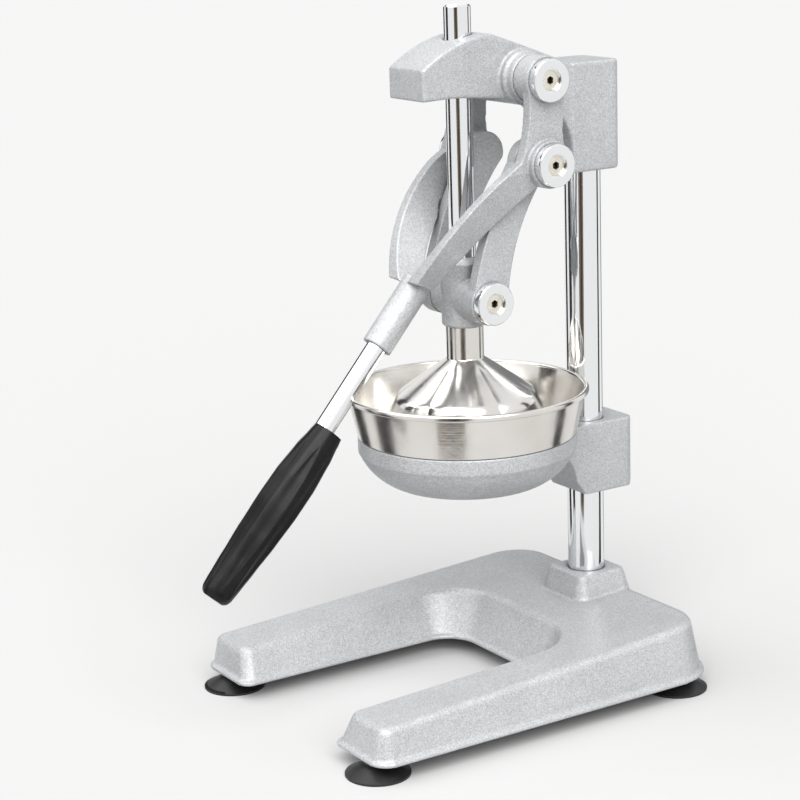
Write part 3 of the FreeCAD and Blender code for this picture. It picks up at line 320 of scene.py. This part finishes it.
def stainless_material():
    """Polished stainless steel: warm, with faint spinning rings round the press's axis."""
    material, tree, shader = new_material("stainless_steel", (0.80, 0.775, 0.735), 1.0, 0.13)
    split = add(tree, "ShaderNodeSeparateXYZ")
    tree.links.new(object_space(tree), split.inputs["Vector"])
    flat = add(tree, "ShaderNodeCombineXYZ")
    tree.links.new(split.outputs["X"], flat.inputs["X"])
    tree.links.new(split.outputs["Y"], flat.inputs["Y"])
    away = add(tree, "ShaderNodeVectorMath", {"operation": "DISTANCE"})
    tree.links.new(flat.outputs["Vector"], away.inputs[0])
    away.inputs[1].default_value = (RAM_AXIS.x, RAM_AXIS.y, 0)
    rings = add(tree, "ShaderNodeCombineXYZ")
    tree.links.new(away.outputs["Value"], rings.inputs["X"])
    tree.links.new(split.outputs["Z"], rings.inputs["Y"])
    lines = add(tree, "ShaderNodeTexNoise", Scale=1400.0, Detail=3.0)
    tree.links.new(rings.outputs["Vector"], lines.inputs["Vector"])
    tree.links.new(spread(tree, noise(tree, 45, 4), 0.12, 0.24), shader.inputs["Roughness"])
    hazy = bump(tree, shader, noise(tree, 70, 3), 0.12, 0.0008)
    bump(tree, shader, lines.outputs["Fac"], 0.12, 0.00012, hazy)
    patches = blend_color(tree, spread(tree, noise(tree, 22, 3), 0, 1),
                          (0.70, 0.675, 0.635), (0.82, 0.80, 0.77))
    tree.links.new(patches, shader.inputs["Base Color"])
    return material


def screw_material():
    """Zinc-plated steel with a yellowish tone, fine turning marks, and painted shade that
    darkens its recesses.
    """
    material, tree, shader = new_material("screw_steel", (0.78, 0.745, 0.64), 1.0, 0.3)
    # Painted shade: an ambient-occlusion mask blends the zinc colour towards near-black
    # inside the hex socket and other recesses
    painted_shade_ao = add(tree, "ShaderNodeAmbientOcclusion", {"samples": 8}, Distance=SCREW_PAINTED_SHADE_REACH)
    tree.links.new(spread(tree, noise(tree, 900, 3), 0.22, 0.42), shader.inputs["Roughness"])
    tone = blend_color(tree, spread(tree, noise(tree, 260, 3), 0, 1),
                       (0.70, 0.66, 0.55), (0.86, 0.83, 0.74))
    painted_shade_lit_share = spread(tree, painted_shade_ao.outputs["AO"], 0, 1, 0.4, 0.68)
    tree.links.new(blend_color(tree, painted_shade_lit_share, (0.03, 0.028, 0.024), tone),
                   shader.inputs["Base Color"])
    bump(tree, shader, noise(tree, 1800, 2), 0.2, 0.0001)
    return material


def rubber_material():
    """Soft black rubber with a dull bloom."""
    material, tree, shader = new_material("black_rubber", (0.018, 0.018, 0.019), 0.0, 0.42)
    tree.links.new(spread(tree, noise(tree, 130, 4), 0.34, 0.55), shader.inputs["Roughness"])
    tone = blend_color(tree, spread(tree, noise(tree, 60, 4), 0, 1),
                       (0.005, 0.005, 0.0055), (0.014, 0.014, 0.0145))
    tree.links.new(tone, shader.inputs["Base Color"])
    bump(tree, shader, noise(tree, 1600, 2), 0.25, 0.0001)
    return material


def grip_material():
    """Black moulded plastic: satin, with a fine spark-eroded grain."""
    material, tree, shader = new_material("black_plastic", (0.02, 0.02, 0.021), 0.0, 0.3)
    tree.links.new(spread(tree, noise(tree, 90, 4), 0.24, 0.36), shader.inputs["Roughness"])
    tone = blend_color(tree, spread(tree, noise(tree, 35, 3), 0, 1),
                       (0.004, 0.004, 0.0045), (0.010, 0.010, 0.011))
    tree.links.new(tone, shader.inputs["Base Color"])
    bump(tree, shader, noise(tree, 2200, 2), 0.18, 0.00008)
    shader.inputs["Specular IOR Level"].default_value = 0.14
    shader.inputs["Coat Weight"].default_value = 0.06
    shader.inputs["Coat Roughness"].default_value = 0.2
    return material


# ---------------------------------------------------------------- shapes

def centre_of(node):
    """Middle of a node's box."""
    low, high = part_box(node)
    return (low + high) / 2


RAM_AXIS = centre_of("ram_rod")


def finished(name, mesh, material, body, replaced, crease=38):
    """Smooth-shaded piece that rides on a body and stands for CAD nodes."""
    for polygon in mesh.polygons:
        polygon.use_smooth = True
    mesh.set_sharp_from_angle(angle=math.radians(crease))
    mesh.materials.clear()
    mesh.materials.append(material)
    piece = bpy.data.objects.new(name, mesh)
    bpy.context.scene.collection.objects.link(piece)
    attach(piece, body)
    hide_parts(*replaced)
    return piece


def profile(corners, steps=6):
    """Outline of (radius, height, rounding) corners as points, in millimetres."""
    points = []
    for i, corner in enumerate(corners):
        here = Vector(corner[:2])
        rounding = corner[2] if len(corner) > 2 else 0
        if not rounding:
            points.append(here)
            continue
        before = (Vector(corners[i - 1][:2]) - here).normalized()
        after = (Vector(corners[(i + 1) % len(corners)][:2]) - here).normalized()
        half = before.angle(after) / 2
        reach = rounding / math.tan(half)
        centre = here + (before + after).normalized() * rounding / math.sin(half)
        first = here + before * reach - centre
        last = here + after * reach - centre
        sweep = first.angle_signed(last)
        for step in range(steps + 1):
            turned = -sweep * step / steps
            points.append(centre + Vector((
                first.x * math.cos(turned) - first.y * math.sin(turned),
                first.x * math.sin(turned) + first.y * math.cos(turned))))
    return points


def lathe(name, points, place, segments, shape=None):
    """Turn a profile in millimetres about place's Z axis; shape may vary each radius."""
    vertices, faces, rows = [], [], []
    for point in points:
        if abs(point.x) < 1e-6:
            rows.append([len(vertices)] * segments)
            vertices.append(place @ Vector((0, 0, point.y * MM)))
            continue
        rows.append(list(range(len(vertices), len(vertices) + segments)))
        for i in range(segments):
            angle = math.tau * i / segments
            radius, height = shape(angle, point.x, point.y) if shape else (point.x, point.y)
            vertices.append(place @ Vector((
                radius * math.cos(angle) * MM, radius * math.sin(angle) * MM, height * MM)))
    for low, high in zip(rows, rows[1:] + rows[:1]):
        for i in range(segments):
            j = (i + 1) % segments
            corners = []
            for index in (low[i], low[j], high[j], high[i]):
                if index not in corners:
                    corners.append(index)
            if len(corners) > 2:
                faces.append(corners)
    mesh = bpy.data.meshes.new(name)
    mesh.from_pydata(vertices, [], faces)
    mesh.validate()
    mesh.update()
    fix_normals(mesh)
    return mesh


def fix_normals(mesh):
    """Turn all faces outwards."""
    work = bmesh.new()
    work.from_mesh(mesh)
    bmesh.ops.recalc_face_normals(work, faces=work.faces)
    work.to_mesh(mesh)
    work.free()


def on_ram_axis():
    """Frame of the pieces that stand round the ram's axis."""
    return Matrix.Translation((RAM_AXIS.x, RAM_AXIS.y, 0))


def soft_cast(node, body, material, voxel, rounds, keep):
    """Copy of a casting with soft edges; voxel in millimetres, keep a share of faces."""
    mesh = NODES[node].data.copy()
    work = bpy.data.objects.new(node + "_work", mesh)
    bpy.context.scene.collection.objects.link(work)
    weld = work.modifiers.new("weld", "WELD")
    weld.merge_threshold = 0.01 * MM
    remesh = work.modifiers.new("remesh", "REMESH")
    remesh.mode = "VOXEL"
    remesh.voxel_size = voxel * MM
    smooth = work.modifiers.new("smooth", "SMOOTH")
    smooth.factor = 0.5
    smooth.iterations = rounds
    thin = work.modifiers.new("thin", "DECIMATE")
    thin.ratio = keep
    graph = bpy.context.evaluated_depsgraph_get()
    cast = bpy.data.meshes.new_from_object(work.evaluated_get(graph))
    bpy.data.objects.remove(work)
    return finished(node + "_cast", cast, material, body, [node], 50)


def make_castings(material):
    """All hammer-painted castings."""
    for node, body, voxel, rounds in (
            ("base", "frame", 0.8, 5), ("head_casting", "frame", 0.6, 14),
            ("bowl_holder", "frame", 0.6, 5), ("lever_fork", "lever", 0.5, 4),
            ("link_right", "links", 0.45, 4), ("link_left", "links", 0.45, 4),
            ("ram_body", "ram", 0.45, 4)):
        soft_cast(node, body, material, voxel, rounds, 0.4)


LOBES = 6
LOBE_DEPTH = 0.34
LOBE_TURN = math.atan2(CAMERA_AT.y, CAMERA_AT.x) - math.radians(4)


def make_dome(material):
    """Pressed dome with broad lobes and creased grooves, on a straight neck."""
    low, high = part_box("press_dome")
    rim = low.z / MM
    top = high.z / MM
    reach = (high.x - low.x) / 2 / MM
    neck = 10.5
    neck_z = rim + 33
    bore = 4.1
    wall = 1.2
    points = profile([
        (neck, top, 0.4), (neck, neck_z, 1.0), (reach - 3.5, rim + 12, 9),
        (reach, rim + 2, 6), (reach, rim), (reach - wall, rim),
        (reach - wall, rim + 2, 5), (reach - 4.3, rim + 11, 8),
        (neck - 0.5, neck_z - wall, 0.8), (bore, neck_z - wall), (bore, top)], 8)

    def lobed(angle, radius, height):
        half = math.pi / LOBES
        turn = (angle - LOBE_TURN + half) % (2 * half) - half
        start = ease((radius - neck - 1) / 9)
        end = ease((height - rim + 2) / 10)
        offset = LOBE_DEPTH * start * (0.4 + 0.6 * end)
        reach_out = offset * math.cos(turn) + math.sqrt(
            (1 - offset) ** 2 - (offset * math.sin(turn)) ** 2)
        return radius * reach_out, height

    dense = []
    for first, second in zip(points, points[1:] + points[:1]):
        count = max(1, int((second - first).length / 1.5))
        dense += [first.lerp(second, k / count) for k in range(count)]
    mesh = lathe("press_dome_lobed", dense, on_ram_axis(), 240, lobed)
    finished("press_dome_lobed", mesh, material, "ram", ["press_dome"], 40)


def ease(share):
    """Smooth step from 0 to 1."""
    share = min(max(share, 0), 1)
    return share * share * (3 - 2 * share)


REAMER_RIBS = 10
RIB_DEPTH = 0.15


def make_reamer(material):
    """Pointed reamer with sharp ribs on a flat skirt."""
    low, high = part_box("reamer")
    foot = low.z / MM
    tall = (high.z - low.z) / MM
    reach = (high.x - low.x) / 2 / MM
    corners = [(0, foot), (reach, foot), (reach, foot + 1.4, 0.6), (reach - 6, foot + 2.4, 1)]
    steps = 15
    for step in range(1, steps):
        share = step / steps
        corners.append((
            (reach - 7) * (1 - share) ** 0.72 + 1.2 * share,
            foot + 2.4 + (tall - 2.8) * (1 - (1 - share) ** 1.35)))
    corners.append((0, foot + tall))

    def ribbed(angle, radius, height):
        across = abs(math.sin(REAMER_RIBS / 2 * angle))
        share = min(max((height - foot - 2.6) / 5, 0), 1)
        return radius * (1 - RIB_DEPTH * share * across ** 0.8), height

    mesh = lathe("reamer_ribbed", profile(corners, 4), on_ram_axis(), 240,
                 ribbed)
    finished("reamer_ribbed", mesh, material, "frame", ["reamer"], 40)


def make_bowl(material):
    """Spun bowl with a rolled rim, a rounded step and a juice spout."""
    low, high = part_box("bowl")
    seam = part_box("bowl_holder")[1].z / MM + 0.1
    rim = high.z / MM
    reach = (high.x - low.x) / 2 / MM
    wall = 1.2
    roll = 1.7
    side = 61.7
    pan = 57
    slope = 43
    slope_z = 127.5
    pan_z = 140
    spout = 12
    spout_top = slope_z - 1
    spout_end = low.z / MM
    corners = [(reach - 3.2, rim - roll, 0.6), (reach - 3.0, rim, 1.5), (reach, rim, 1.5),
               (reach, rim - 3.4, 1.3), (reach - 2.0, rim - 3.6, 0.5)]
    corners += [(side, seam + 0.4, 0.4), (side - 0.5, seam), (pan, seam, 0.5),
                (pan, pan_z, 4), (slope, slope_z, 8), (spout, spout_top, 1.5),
                (spout, spout_end), (spout - wall, spout_end),
                (spout - wall, spout_top + wall, 1.5),
                (slope - 0.5, slope_z + wall, 7), (pan - wall, pan_z + 0.6, 3),
                (pan - wall, seam + wall, 1.2), (side - wall, seam + wall, 0.8)]
    mesh = lathe("bowl_spun", profile(corners, 7), on_ram_axis(), 192)
    finished("bowl_spun", mesh, material, "frame", ["bowl"], 40)


CAP_THICK = 5
CAP_RADIUS = 11.7
SLEEVE_RADIUS = 8
SLEEVE_BORE = 3.05
SCREW_SUNK = 1.8
RECESS_RADIUS = 6.1
SEAT_RADIUS = 5.55


def make_caps(material):
    """Chromed flanged sleeves with a rounded rim and a deep seat for the screw."""
    for pivot, body in (("head_pivot", "frame"), ("crank_pivot", "lever"),
                        ("ram_pivot", "links")):
        for side in ("right", "left"):
            node = f"{pivot}_sleeve_{side}"
            low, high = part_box(node)
            sign = 1 if low.x + high.x > 0 else -1
            top = (high.x - low.x) / MM
            start = (low + high) / 2
            start.x = low.x if sign > 0 else high.x
            place = Matrix.Translation(start) @ Matrix.Rotation(sign * math.pi / 2, 4, "Y")
            under = top - CAP_THICK
            seat = top - SCREW_SUNK
            cone = SEAT_RADIUS - SLEEVE_BORE
            points = profile([
                (SLEEVE_BORE, 0), (SLEEVE_RADIUS, 0), (SLEEVE_RADIUS, under),
                (CAP_RADIUS, under, 0.2), (CAP_RADIUS, top, 0.7), (RECESS_RADIUS, top, 0.2),
                (RECESS_RADIUS, seat), (SEAT_RADIUS, seat), (SLEEVE_BORE, seat - cone)])
            finished(node + "_cap", lathe(node + "_cap", points, place, 96), material,
                     body, [node], 30)


def axis_of(node):
    """Start, direction and length of a long node, with its direction pointing down."""
    points = np.array([v.co for v in NODES[node].data.vertices])
    middle = points.mean(0)
    direction = np.linalg.svd(points - middle, full_matrices=False)[2][0]
    direction = direction * (-1 if direction[2] > 0 else 1)
    along = (points - middle) @ direction
    return (Vector(middle + direction * along.min()), Vector(direction),
            float(along.max() - along.min()))


FLUTES = 7
FLUTE_DEPTH = 0.95
FLUTE_START = 0.1
FLUTE_SHARE = 0.83
GRIP_BORE = 6
GRIP_BORE_DEEP = 70


def make_grip(material):
    """Swelling black grip with long almond-shaped hollows round it."""
    start, direction, length = axis_of("grip")
    length = length / MM
    place = Matrix.Translation(start) @ direction.to_track_quat("Z", "Y").to_matrix().to_4x4()
    swell = ((0, 8.3), (0.04, 9.0), (0.14, 10.6), (0.3, 12.1), (0.45, 12.3), (0.62, 11.6),
             (0.78, 10.4), (0.9, 9.5), (0.96, 9.0), (0.985, 8.1), (1.0, 6.0))
    points = [Vector((6.1, 1.0)), Vector((6.6, 0))]
    steps = 90
    for step in range(steps + 1):
        share = step / steps
        points.append(Vector((curve_at(swell, share), length * share)))
    points += [Vector((0, length)), Vector((0, GRIP_BORE_DEEP)),
               Vector((GRIP_BORE, GRIP_BORE_DEEP))]

    def fluted(angle, radius, height):
        share = height / length
        if not FLUTE_START < share < FLUTE_START + FLUTE_SHARE or radius < 7:
            return radius, height
        along = math.sin(math.pi * (share - FLUTE_START) / FLUTE_SHARE) ** 0.6
        turn = (angle * FLUTES / math.tau) % 1.0 * 2 - 1
        width = 0.86 * along
        if abs(turn) >= width:
            return radius, height
        return radius - FLUTE_DEPTH * along * (1 - (turn / width) ** 2) ** 1.2, height

    mesh = lathe("grip_fluted", points, place, 210, fluted)
    finished("grip_fluted", mesh, material, "lever", ["grip"], 30)


def curve_at(table, share):
    """Smooth value at share of a table of (share, value)."""
    for (a, first), (b, second) in zip(table, table[1:]):
        if share <= b:
            t = (share - a) / (b - a)
            t = t * t * (3 - 2 * t) * 0.5 + t * 0.5
            return first + (second - first) * t
    return table[-1][1]


# ---------------------------------------------------------------- making

set_camera()
set_stage()
casting = casting_material()
chrome = chrome_material()
stainless = stainless_material()
screw = screw_material()
rubber = rubber_material()
plastic = grip_material()
BY_SLOT = {"casting": casting, "chrome": chrome, "stainless": stainless, "steel": screw,
           "rubber": rubber, "grip": plastic}
for subpart in frame["record"]["subparts"]:
    shown = NODES[subpart["node"]]
    shown.data.materials.clear()
    shown.data.materials.append(BY_SLOT[subpart["material_slot"]])

make_castings(casting)
make_dome(stainless)
make_reamer(stainless)
make_bowl(stainless)
make_grip(plastic)
make_caps(chrome)
